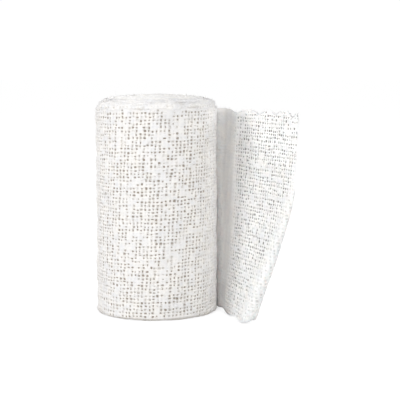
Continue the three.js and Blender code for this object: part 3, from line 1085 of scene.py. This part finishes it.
def build_loose_end(scene):
    """The loose end: two faces of gauze, one on either side of its middle surface, joined round the edge. It
    is thinner at its edges. Its long edges are cut in lobes between notches, of which one at the top stands
    a little higher."""
    cloth, roll, loose = scene.bandage_cloth, scene.bandage_roll, scene.bandage_loose
    random = np.random.default_rng(cloth.seed + 1)
    columns = loose.columns
    line_along = np.linspace(loose.gap, loose.length, columns + 1)
    inside = lobe(line_along)
    high_lobe, high_lobe_at, high_lobe_width, ragged = 0.0007, 0.088, 0.006, 0.00012
    calm_at_seam, calm_at_free_edge = 0.004, 0.002
    low = np.interp(line_along, NOTCHES["at"], NOTCHES["base"]) * (1 - inside)
    high = roll.top - np.interp(line_along, NOTCHES["at"], NOTCHES["top"]) * (1 - inside)
    high = high + high_lobe * bell(line_along - high_lobe_at, high_lobe_width)
    high = high + random.uniform(-ragged, ragged, columns + 1)
    natural = FIRST_ROW + (np.arange(LOOSE_ROWS + 1) - 0.5) * cloth.row_pitch + np.zeros((columns + 1, 1))
    corner_height, wander = uneven_lattice(random, natural, low, high, LOOSE_UNEVEN)
    ends = smooth((line_along - loose.gap) / calm_at_seam)
    ends = ends * smooth((loose.length - line_along) / calm_at_free_edge)
    corner_along = line_along[:, None] + wander * ends[:, None]
    openness = openness_of(random, cloth, corner_height, cloth.open_share + LOOSE_MORE_OPEN)
    face = gauze_face(random, cloth, corner_along, corner_height, openness)

    plan = standing_grid(roll, loose)
    top_edge = np.interp(face.along, line_along, high)
    base_edge = np.interp(face.along, line_along, low)
    from_edge = np.minimum(top_edge - face.height, face.height - base_edge)
    from_edge = np.minimum(from_edge, loose.length - face.along)
    taper = TAPER.least + (1 - TAPER.least) * smooth(from_edge / TAPER.over)
    half = loose.thickness / 2 * taper
    calm, ribs, shade = calm_share(loose, face), root_ribs(face), root_shade(face)
    # Painted shade along the foot near the root
    painted_foot_shade = 1 - smooth((face.height - base_edge - LOOSE_FOOT_SHADE.start) / LOOSE_FOOT_SHADE.fade)
    painted_foot_shade = painted_foot_shade * (1 - smooth((face.along - LOOSE_FOOT_SHADE.end) / LOOSE_FOOT_SHADE.end_fade))

    def one_face(root, side):
        """Points and masks of one face. At the root the holes are hidden, the relief flattened into faint
        ribs, and less plaster shows, which is painted light; painted shade lies between the ribs and in an
        even band. Where the sheet is calm the relief is flatter and the holes are paler."""
        relief = face.lift * (1 - ROOT.relief * root) * (1 - CALM_RELIEF * calm) + RIBS.lift * root * ribs
        depth = np.maximum(relief * taper, -DEEPEST * half)
        points = loose_points(roll, loose, plan, face.along, face.height, side * (half + depth))
        hole = face.hole * (1 - CALM_HOLES * calm) * (1 - ROOT.holes * root)
        hole = np.maximum(hole, (root > 0) * (RIBS.dark * root * (1 - ribs) + shade))
        return points, np.maximum(hole, LOOSE_FOOT_SHADE.dark * painted_foot_shade), face.clog * (1 - ROOT.clogged * root)

    near_root = root_share(face)
    outer, outer_hole, outer_clog = one_face(near_root, 1)
    inner, inner_hole, inner_clog = one_face(0 * near_root, -1)
    count = len(outer)
    quads = [face.quads, face.quads[:, ::-1] + count]
    for row, flip in ((face.base, True), (face.top, False), (face.start, False), (face.end, True)):
        quads.append(strip(row, row + count, flip))
    triangles = np.concatenate([face.triangles, face.triangles[:, ::-1] + count])
    masks = {"hole": np.append(outer_hole, inner_hole), "clog": np.append(outer_clog, inner_clog)}
    weave = np.tile(weave_of(cloth, roll, face.along, face.height), (2, 1))
    material = gauze_material(
        "plaster_gauze_loose_end", cloth, cloth.thread_colour, cloth.loose_hole_colour, lit_through=0.7
    )
    points = np.concatenate([outer, inner])
    piece = new_piece("gauze_loose_end", points, np.concatenate(quads), triangles, masks, weave, material)
    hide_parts("loose_end")


# The edges of the wound turns

# Waves round the roll in which its inner turns lie slack: crests, size, start, and the start's change a turn
SLACK = {
    "crests": (2, 3),
    "size": (0.0005, 0.0003),
    "start": (1.1, 0.4),
    "change": (0.12, -0.21),
}
SLACK_AFTER = 2
SLACK_OVER = 6
BEHIND_GAUZE = 0.00032
WANDER_SHARE = 0.13
WANDERS_IN_A_TURN = 14
CREST_BLUNTNESS = 0.55
GROOVE_RANGE = (0.7, 1.3)
EYE_DEPTH = 0.003
FLOOR_GAP = 0.00002
# Dark on the turns' edges: painted shade in the grooves, loose specks, and soft spots from a start over a
# range
EDGE_SHADE_AND_SPECKS = SimpleNamespace(groove=0.40, speckle=0.20, spot=0.14, spot_from=0.4, spot_over=1.3)

# Shares of the crests' roughness: soft swells, of which so many fit in a turn, single steps and loose chips
ROUGH = SimpleNamespace(swells=0.55, swells_in_a_turn=60, steps=0.45, chips=0.25)


def turn_places(random, roll, wound, steps):
    """Angles and radii of the inner turns' edges. They lie a little deeper where they are behind gauze.
    Further in they lie slack, by a sum of waves that is largest halfway to the middle, and wander."""
    angle = roll.seam + FULL_TURN * wound
    radius = turn_radius(roll, wound) - BEHIND_GAUZE * (1 - smooth(wound - roll.shoulder_turns))
    inside = smooth((wound - SLACK_AFTER) / SLACK_OVER)
    core = np.clip(radius / roll.radius, 0, 1)
    slack = np.zeros(len(wound))
    for crests, size, start, change in zip(*SLACK.values()):
        slack += size * np.sin(crests * angle + start + change * wound) * (1 - core) * core * 4
    spread = (steps / WANDERS_IN_A_TURN, 1)
    wander = blurred_noise(random, (len(wound), 1), spread)[:, 0] * roll.layer * WANDER_SHARE
    return angle, radius + inside * (slack + wander)


def spiral_surface(random, roll, steps, across, height_at, groove, rough):
    """Edges of the wound turns as one strip that winds inwards. Across the strip a turn rises from the
    groove outside it to its crest and falls to the next groove, by a power of a sine. Each groove is shared
    by the two turns beside it."""
    last = steps * roll.turns
    count = last + steps + 1
    wound = 1 + np.arange(count) / steps
    angle, radius = turn_places(random, roll, wound, steps)
    along = cloth_distance(roll, wound)
    crest = height_at(wound, along, roll.radius - radius)
    swells = blurred_noise(random, (count, 1), (steps / ROUGH.swells_in_a_turn, 1))[:, 0]
    crest = crest + rough * (ROUGH.swells * swells)
    crest = crest + rough * (ROUGH.steps * random.uniform(-1, 1, count))
    before_crest = crest[np.maximum(np.arange(count) - steps, 0)]
    valley = np.minimum(crest, before_crest) - groove * random.uniform(*GROOVE_RANGE, count)

    share = np.linspace(0, 1, across + 1)[1:-1]
    body = np.arange(last + 1)
    places, heights, depths = [radius], [valley], [np.ones(count)]
    for part in share:
        rise = np.sin(np.pi * part) ** CREST_BLUNTNESS
        floor = valley[body] * (1 - part) + valley[body + steps] * part
        chips = rough * ROUGH.chips * random.uniform(-1, 1, last + 1)
        places.append(radius[body] * (1 - part) + radius[body + steps] * part)
        heights.append(floor + (crest[body] - floor) * rise + chips)
        depths.append(np.full(last + 1, 1 - np.sin(np.pi * part)))

    def on_every_line(values):
        """Values along the groove, given to all the lines of the strip."""
        return np.concatenate([values] + [values[body]] * len(share))

    def index(step, line):
        """Number of a point. The line beyond the last one is the groove again, a turn further in."""
        if line == across:
            return step + steps
        return step if line == 0 else count + (line - 1) * (last + 1) + step

    place, height, turned = np.concatenate(places), np.concatenate(heights), on_every_line(angle)
    points = np.stack([place * np.cos(turned), place * np.sin(turned), height], axis=-1)
    here = np.arange(last)
    quads = []
    for line in range(across):
        steps_and_lines = ((here, line), (here + 1, line), (here + 1, line + 1), (here, line + 1))
        quads.append(np.stack([index(*corner) for corner in steps_and_lines], axis=-1))
    mouth = np.array([index(0, line) for line in range(across - 1, 0, -1)])
    throat = np.array([index(last, line) for line in range(across - 1, 0, -1)])
    spot = blurred_noise(random, (roll.turns + 2, steps), (1.0, 1.4)).ravel()[:count]
    return SimpleNamespace(
        points=points, quads=np.concatenate(quads),
        outer_loop=np.concatenate([np.arange(steps + 1), mouth]),
        inner_loop=np.concatenate([np.arange(last, last + steps + 1), throat]),
        depth=np.concatenate(depths), along=on_every_line(along), spot=on_every_line(spot),
    )


def build_turn_edges(scene, name, steps, across, height_at, groove, rough, middle, upwards):
    """The edges of the inner turns as a closed body: the spiral surface, a skirt and a plain disc inside.
    The dark is the most of a painted shade in the grooves, by the square of their depth, and of specks with
    soft spots."""
    cloth, roll = scene.bandage_cloth, scene.bandage_roll
    random = np.random.default_rng(cloth.seed + (2 if upwards else 3))
    spiral = spiral_surface(random, roll, steps, across, height_at, groove, rough)
    count, edge = len(spiral.points), spiral.outer_loop
    skirt = spiral.points[edge] * (1, 1, 0) + (0, 0, middle)
    eye = spiral.points[spiral.inner_loop].mean(axis=0) - (0, 0, EYE_DEPTH)
    points = np.concatenate([spiral.points, skirt, [eye], [(0, 0, middle)]])
    eye_number, middle_number = count + len(edge), count + len(edge) + 1

    def closed(row):
        """A row of points that ends where it begins."""
        return np.append(row, row[0])

    disc = closed(count + np.arange(len(edge)))
    quads = np.concatenate([spiral.quads, strip(disc, closed(edge))])
    triangles = np.concatenate([
        fan(closed(spiral.inner_loop), eye_number),
        fan(disc, middle_number)[:, [1, 0, 2]],
    ])
    if not upwards:
        points = points * (1, 1, -1)
        points[:, 2] = np.maximum(points[:, 2], FLOOR_GAP)
        quads, triangles = quads[:, ::-1], triangles[:, ::-1]
    extra = len(points) - count
    spots = EDGE_SHADE_AND_SPECKS.spot * smooth((spiral.spot - EDGE_SHADE_AND_SPECKS.spot_from) / EDGE_SHADE_AND_SPECKS.spot_over)
    speckle = EDGE_SHADE_AND_SPECKS.speckle * random.random(count) ** 3 + spots
    hole = np.maximum(EDGE_SHADE_AND_SPECKS.groove * spiral.depth ** 2, speckle)
    hole = np.concatenate([hole, np.full(extra, 0.5)])
    # The eye in the middle is painted wholly dark: painted shade in the hollow
    hole[eye_number] = 1.0
    least_clog, more_clog = 0.1, 0.4
    clog = np.concatenate([least_clog + more_clog * random.random(count), np.full(extra, 0.5)])
    along = np.concatenate([spiral.along, np.zeros(extra)])
    weave = weave_of(cloth, roll, along, points[:, 2])
    material = gauze_material("plaster_gauze_turn_edges", cloth, cloth.thread_colour, cloth.roll_hole_colour)
    masks = {"hole": hole, "clog": clog}
    return new_piece(name, points, quads, triangles, masks, weave, material)


def build_both_turn_edges(scene):
    """Upper and lower ends of the wound roll. The lower one is built upside down and then mirrored."""
    roll = scene.bandage_roll
    below, below_gauze, lobe_share = 0.0002, 0.0009, 0.6
    deeper_inside, deeper_over = 0.0006, 0.004

    def crown(wound, along, inset):
        """Height of the upper edges: just below the crown, and lower where they are behind gauze."""
        behind = below_gauze * (1 - smooth(wound - roll.shoulder_turns))
        return crown_height(inset) - below - behind - lobe_share * ROLL_NOTCH_TOP * (1 - lobe(along))

    def foot(wound, along, inset):
        """Height of the mirrored lower edges: just below nought, with lobes that are deeper inside."""
        depth = ROLL_NOTCH_BASE + deeper_inside * smooth(inset / deeper_over)
        return -below - depth * (1 - lobe(along))

    top = build_turn_edges(
        scene, "turn_edges_top", steps=300, across=6, height_at=crown, groove=0.0007, rough=0.00036,
        middle=0.060, upwards=True,
    )
    build_turn_edges(
        scene, "turn_edges_base", steps=200, across=4, height_at=foot, groove=0.0007, rough=0.00012,
        middle=-0.060, upwards=False,
    )
    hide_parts("wound_roll")


# The thread ends

# How many there are on each edge
FIBRES = SimpleNamespace(loose_top=120, free_edge=46, free_corner=12, outer_turn=40, shoulder=50, foot=90)

# Where they are: along the loose end, up its free edge, in that edge's corner, and round the outer turn
FIBRES_FROM = 0.030
FREE_EDGE_HEIGHTS = (0.066, 0.0965)
FREE_CORNER_HEIGHTS = (0.0945, 0.0975)
UNCOVERED = 0.80

# Their form: usual length and how even it is, longest, scatter of their ways, bend, least and most radius
FIBRE = SimpleNamespace(
    usual=0.0008, evenness=4.0, longest=0.0016, scatter=0.42, bend=0.45, radius=(0.00006, 0.00012),
)


def tubes(paths, radius):
    """Three-sided tubes along paths of as many points, closed at both ends: points, quads and triangles.
    Each narrows to half its width."""
    number, length = paths.shape[:2]
    aslant = (0.31, 0.52, 0.79)
    ahead = unit(np.gradient(paths, axis=1))
    side = unit(np.cross(ahead, aslant))
    above = np.cross(ahead, side)
    turn = np.arange(3) * FULL_TURN / 3
    ring = np.cos(turn)[:, None] * side[:, :, None] + np.sin(turn)[:, None] * above[:, :, None]
    narrow = np.linspace(1.0, 0.5, length)[None, :, None, None]
    points = paths[:, :, None] + ring * radius[:, None, None, None] * narrow
    index = np.arange(number * length * 3).reshape(number, length, 3)
    around = np.roll(index, -1, axis=2)
    quads = np.stack([index[:, :-1], around[:, :-1], around[:, 1:], index[:, 1:]], axis=-1).reshape(-1, 4)
    ends = np.concatenate([index[:, 0, ::-1], index[:, -1]])
    return points.reshape(-1, 3), quads, ends


def loose_fibres(random, roll, loose):
    """Roots and ways of the thread ends on the loose end, along its top edge and its free edge. Their ways
    are those of the cloth there."""
    plan = standing_grid(roll, loose)
    aside, back, top_root, free_root = 0.0002, 0.001, 0.0003, 0.0002

    def place(along, height, side):
        """Points of the loose end at its sides."""
        return loose_points(roll, loose, plan, along, height, side)

    along = random.uniform(FIBRES_FROM, loose.length, FIBRES.loose_top)
    edge = roll.top - np.interp(along, NOTCHES["at"], NOTCHES["top"]) * (1 - lobe(along))
    side = random.uniform(-aside, aside, len(along))
    top_roots = place(along, edge - top_root, side)
    top_ways = unit(place(along, edge, side) - place(along, edge - back, side))

    on_edge = random.uniform(*FREE_EDGE_HEIGHTS, FIBRES.free_edge)
    height = np.concatenate([on_edge, random.uniform(*FREE_CORNER_HEIGHTS, FIBRES.free_corner)])
    free = np.full(len(height), loose.length)
    side = random.uniform(-aside, aside, len(height))
    free_roots = place(free - free_root, height, side)
    free_ways = unit(place(free, height, side) - place(free - back, height, side))
    return np.concatenate([top_roots, free_roots]), np.concatenate([top_ways, free_ways])


def wound_fibres(random, roll):
    """Roots and ways of the thread ends on the roll: upwards along the top edges of its outer turns, and
    outwards and a little down at its foot."""
    top_root, sunk, foot_root, outwards, down = 0.0004, 0.0002, 0.0005, 0.5, 0.15
    on_outer = random.uniform(0, UNCOVERED, FIBRES.outer_turn)
    wound = np.concatenate([on_outer, random.uniform(1, 1 + roll.shoulder_turns, FIBRES.shoulder)])
    along = cloth_distance(roll, wound)
    inset = np.where(wound < 1, 0, roll.radius - turn_radius(roll, wound))
    edge = np.where(wound < 1, roll.top - roll.top_rise * along, crown_height(inset))
    edge = edge - ROLL_NOTCH_TOP * (1 - lobe(along))
    top_roots = roll_points(roll, wound, edge - top_root, np.full(len(wound), -sunk))
    top_ways = np.broadcast_to((0.0, 0.0, 1.0), top_roots.shape)

    wound = random.uniform(0, UNCOVERED, FIBRES.foot)
    foot_roots = roll_points(roll, wound, np.full(len(wound), foot_root), np.zeros(len(wound)))
    foot_ways = unit(foot_roots * (1, 1, 0)) * outwards - (0, 0, down)
    return np.concatenate([top_roots, foot_roots]), np.concatenate([top_ways, foot_ways])


def build_edge_fibres(scene):
    """Loose thread ends at the cut edges: short tubes that stay above the floor. Each path is a way by the
    distance and a bend by its square."""
    cloth, roll, loose = scene.bandage_cloth, scene.bandage_roll, scene.bandage_loose
    random = np.random.default_rng(cloth.seed + 5)
    loose_roots, loose_ways = loose_fibres(random, roll, loose)
    wound_roots, wound_ways = wound_fibres(random, roll)
    roots, ways = np.concatenate([loose_roots, wound_roots]), np.concatenate([loose_ways, wound_ways])
    number, path_points, above_floor, clogged = len(roots), 6, 0.0002, 0.4
    lengths = random.gamma(FIBRE.evenness, FIBRE.usual / FIBRE.evenness, number)
    lengths = np.minimum(lengths, FIBRE.longest)[:, None, None]
    way = unit(ways + random.normal(0, FIBRE.scatter, (number, 3)))[:, None]
    bend = random.normal(0, FIBRE.bend, (number, 1, 3))
    share = np.linspace(0, 1, path_points)[None, :, None]
    paths = roots[:, None] + lengths * (way * share + bend * share ** 2)
    paths[..., 2] = np.maximum(paths[..., 2], above_floor)
    points, quads, ends = tubes(paths, random.uniform(*FIBRE.radius, number))
    masks = {"hole": np.zeros(len(points)), "clog": np.full(len(points), clogged)}
    material = gauze_material("plaster_gauze_fibres", cloth, cloth.thread_colour, cloth.loose_hole_colour)
    new_piece("edge_fibres", points, quads, ends, masks, np.zeros((len(points), 2)), material)


# The stage

LIGHT_TARGET = (0.012, 0.0, 0.05)
LIGHT_REACH = 1.3
BACKDROP = 1.02
# How the camera sees the floor: its glow dims within a near distance of the bandage as a painted contact
# shadow, from most to least, with a faint share of shaded paint
FLOOR_SEEN = SimpleNamespace(near=0.004, least=0.72, most=0.94, shaded=0.17)


def soft_light(name, bearing, rise, side, power):
    """A square soft light that shines at the bandage from a bearing about it and an angle above it."""
    light = bpy.data.lights.new(name, "AREA")
    light.size = side
    light.energy = power
    thing = bpy.data.objects.new(name, light)
    bearing, rise = math.radians(bearing), math.radians(rise)
    level = LIGHT_REACH * math.cos(rise)
    out = Vector((level * math.cos(bearing), level * math.sin(bearing), LIGHT_REACH * math.sin(rise)))
    thing.location = Vector(LIGHT_TARGET) + out
    thing.rotation_euler = (-out).to_track_quat("-Z", "Y").to_euler()
    bpy.context.scene.collection.objects.link(thing)


def build_room(scene, stage):
    """White room, which the camera sees brighter than it lights the bandage."""
    world = bpy.data.worlds.new("studio")
    scene.world = world
    world.use_nodes = True
    world.node_tree.nodes.clear()
    n = Nodes(world.node_tree)
    seen = n.add("LightPath").outputs["Is Camera Ray"]
    strength = n.mapped(seen, 0.0, 1.0, stage.sky, BACKDROP)
    sky = n.add("Background", Color=(1, 1, 1, 1), Strength=strength)
    n.put(sky.outputs[0], n.add("OutputWorld").inputs["Surface"])


def build_floor(scene, stage):
    """Square floor at nought height. To the camera it glows white, less so close to the bandage, where the
    dimming is a painted contact shadow, with a faint share of shaded paint. To everything else it is plain
    white paint."""
    half = stage.floor_size / 2
    corners = [(-half, -half, 0), (half, -half, 0), (half, half, 0), (-half, half, 0)]
    mesh = bpy.data.meshes.new("studio_floor")
    mesh.from_pydata(corners, [], [(0, 1, 2, 3)])
    floor = bpy.data.objects.new("studio_floor", mesh)
    scene.collection.objects.link(floor)
    material = bpy.data.materials.new("studio_floor")
    material.use_nodes = True
    material.node_tree.nodes.clear()
    n = Nodes(material.node_tree)
    seen = n.add("LightPath").outputs["Is Camera Ray"]
    near = n.add("AmbientOcclusion", Distance=FLOOR_SEEN.near, samples=8).outputs["AO"]
    bright = n.mapped(near, 0.45, 0.95, FLOOR_SEEN.least, FLOOR_SEEN.most)
    glow = n.add("Emission", Color=(1, 1, 1, 1), Strength=bright)
    faint = n.add("BsdfDiffuse", Color=(*[FLOOR_SEEN.shaded] * 3, 1))
    white = n.add("AddShader")
    n.put(glow.outputs[0], white.inputs[0])
    n.put(faint.outputs[0], white.inputs[1])
    paint = n.add("BsdfDiffuse", Color=(*[stage.floor_white] * 3, 1))
    mix = n.add("MixShader")
    n.put(seen, mix.inputs[0])
    n.put(paint.outputs[0], mix.inputs[1])
    n.put(white.outputs[0], mix.inputs[2])
    n.put(mix.outputs[0], n.add("OutputMaterial").inputs["Surface"])
    mesh.materials.append(material)


def build_camera(scene, stage):
    """Camera in front of the bandage, which looks a little down."""
    camera = bpy.data.cameras.new("camera")
    camera.lens = stage.lens
    camera.clip_start = 0.01
    camera.clip_end = 100
    thing = bpy.data.objects.new("camera", camera)
    thing.location = stage.camera_place
    thing.rotation_euler = (math.pi / 2 - stage.camera_pitch, 0, 0)
    scene.collection.objects.link(thing)
    scene.camera = thing


def build_stage(scene):
    """White floor and room, five soft lights and the camera."""
    stage = scene.bandage_stage
    build_room(scene, stage)
    build_floor(scene, stage)
    for name, bearing, rise, side, power in zip(*LIGHTS.values()):
        soft_light(name, bearing, rise, side, getattr(stage, power))
    build_camera(scene, stage)
    scene.view_settings.view_transform = "Standard"


class BANDAGE_OT_outer_turn(bpy.types.Operator):
    """Build the outer turn of gauze"""

    bl_idname = "bandage.outer_turn"
    bl_label = "Outer turn"

    def execute(self, context):
        build_outer_turn(context.scene)
        return {"FINISHED"}


class BANDAGE_OT_shoulder_turns(bpy.types.Operator):
    """Build the upper edges of the turns next to the outer one"""

    bl_idname = "bandage.shoulder_turns"
    bl_label = "Shoulder turns"

    def execute(self, context):
        build_shoulder_turns(context.scene)
        return {"FINISHED"}


class BANDAGE_OT_edge_fibres(bpy.types.Operator):
    """Build the thread ends at the cut edges"""

    bl_idname = "bandage.edge_fibres"
    bl_label = "Edge fibres"

    def execute(self, context):
        build_edge_fibres(context.scene)
        return {"FINISHED"}


class BANDAGE_OT_loose_end(bpy.types.Operator):
    """Build the loose end of the gauze"""

    bl_idname = "bandage.loose_end"
    bl_label = "Loose end"

    def execute(self, context):
        build_loose_end(context.scene)
        return {"FINISHED"}


class BANDAGE_OT_turn_edges(bpy.types.Operator):
    """Build the edges of the wound turns at both ends of the roll"""

    bl_idname = "bandage.turn_edges"
    bl_label = "Turn edges"

    def execute(self, context):
        build_both_turn_edges(context.scene)
        return {"FINISHED"}


class BANDAGE_OT_stage(bpy.types.Operator):
    """Build the floor, the lights and the camera"""

    bl_idname = "bandage.stage"
    bl_label = "Stage"

    def execute(self, context):
        build_stage(context.scene)
        return {"FINISHED"}


OPERATORS = (
    BANDAGE_OT_stage,
    BANDAGE_OT_outer_turn,
    BANDAGE_OT_shoulder_turns,
    BANDAGE_OT_loose_end,
    BANDAGE_OT_turn_edges,
    BANDAGE_OT_edge_fibres,
)
SETTINGS = {
    "bandage_cloth": ClothSettings,
    "bandage_roll": RollSettings,
    "bandage_loose": LooseEndSettings,
    "bandage_stage": StageSettings,
}


class BANDAGE_PT_panel(bpy.types.Panel):
    """Lists the pieces of the bandage in the sidebar"""

    bl_idname = "BANDAGE_PT_panel"
    bl_label = "Plaster bandage roll"
    bl_space_type = "VIEW_3D"
    bl_region_type = "UI"
    bl_category = "Bandage"

    def draw(self, context):
        for operator in OPERATORS:
            self.layout.operator(operator.bl_idname)
        for name, group in SETTINGS.items():
            settings = getattr(context.scene, name)
            box = self.layout.box()
            box.label(text=group.__doc__.strip())
            for value in group.__annotations__:
                box.prop(settings, value)


CLASSES = (*SETTINGS.values(), *OPERATORS, BANDAGE_PT_panel)


def register():
    """Registers the classes and adds their settings to the scene."""
    for each in CLASSES:
        bpy.utils.register_class(each)
    for name, group in SETTINGS.items():
        setattr(bpy.types.Scene, name, PointerProperty(type=group))


def unregister():
    """Takes the settings and the classes out again."""
    for name in SETTINGS:
        delattr(bpy.types.Scene, name)
    for each in reversed(CLASSES):
        bpy.utils.unregister_class(each)


def main():
    """Builds the whole scene."""
    register()
    bpy.ops.bandage.stage()
    bpy.ops.bandage.outer_turn()
    bpy.ops.bandage.shoulder_turns()
    bpy.ops.bandage.loose_end()
    bpy.ops.bandage.turn_edges()
    bpy.ops.bandage.edge_fibres()


if __name__ == "__main__":
    main()
